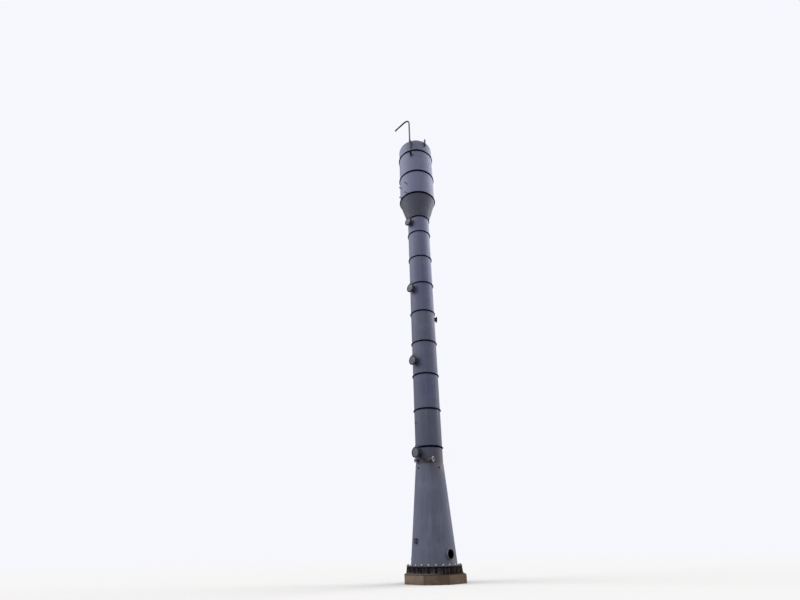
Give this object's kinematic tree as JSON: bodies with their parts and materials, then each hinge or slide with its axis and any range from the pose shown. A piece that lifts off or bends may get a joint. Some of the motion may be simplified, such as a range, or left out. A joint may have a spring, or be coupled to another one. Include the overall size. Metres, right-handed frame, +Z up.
{
  "type": "distillation column",
  "caption": "Steel distillation column with a swaged top, conical skirt, manways, nozzles, insulation rings and a swivelling davit, on its anchor-bolted concrete plinth.",
  "frame": {"origin": "on the column's axis, at the underside of the plinth", "axes": "+Z up the column, -Y the front, +X to the right seen from the front"},
  "size_m": [3.7082, 3.6692, 38.07],
  "materials": {
    "shell_paint": "dull grey primer with lilac and green tints",
    "skirt_paint": "dull blue-grey primer, dusty towards the foot",
    "cover_paint": "dull grey primer",
    "ring_paint": "near-black",
    "dark_steel": "dark grey paint",
    "pale_primer": "pale grey primer",
    "red_primer": "faded red primer",
    "weathered_steel": "grey primer with rust and mud",
    "concrete": "rough concrete with brown soil stains"
  },
  "bodies": {
    "root": {"plinth": "concrete", "base_ring": "weathered_steel", "chair_ring": "weathered_steel", "chair_gussets": "weathered_steel", "skirt_lower": "skirt_paint", "skirt_upper": "skirt_paint", "access_sleeve": "pale_primer", "skirt_vents": "skirt_paint", "earth_lugs": "dark_steel", "tag_bracket": "dark_steel", "bottom_head": "shell_paint", "bottom_outlet": "shell_paint", "lower_shell_1": "shell_paint", "lower_shell_2": "shell_paint", "lower_shell_3": "shell_paint", "lower_shell_4": "shell_paint", "cone": "shell_paint", "upper_shell_1": "shell_paint", "upper_shell_2": "shell_paint", "upper_shell_3": "shell_paint", "top_head": "shell_paint", "lower_rings": "ring_paint", "upper_rings": "ring_paint", "manway_neck_1": "shell_paint", "manway_neck_2": "shell_paint", "manway_neck_3": "shell_paint", "manway_neck_4": "shell_paint", "manway_cover_1": "cover_paint", "manway_cover_2": "cover_paint", "manway_cover_3": "cover_paint", "manway_cover_4": "cover_paint", "cover_arms": "dark_steel", "return_nozzle": "pale_primer", "drain_nozzle": "pale_primer", "sample_nozzle": "red_primer", "feed_nozzle": "dark_steel", "thermowell_boss": "dark_steel", "level_nozzles": "dark_steel", "vapour_outlet": "shell_paint", "lifting_lugs": "shell_paint", "davit_step": "dark_steel", "davit_guide": "dark_steel"},
    "davit": {"davit": "dark_steel"}
  },
  "joints": [
    {"name": "davit_swivel", "type": "hinge", "parent": "root", "child": "davit", "pos_m": [-0.54089, -1.76916, 33.62], "axis": [0, 0, 1], "continuous": true}
  ]
}
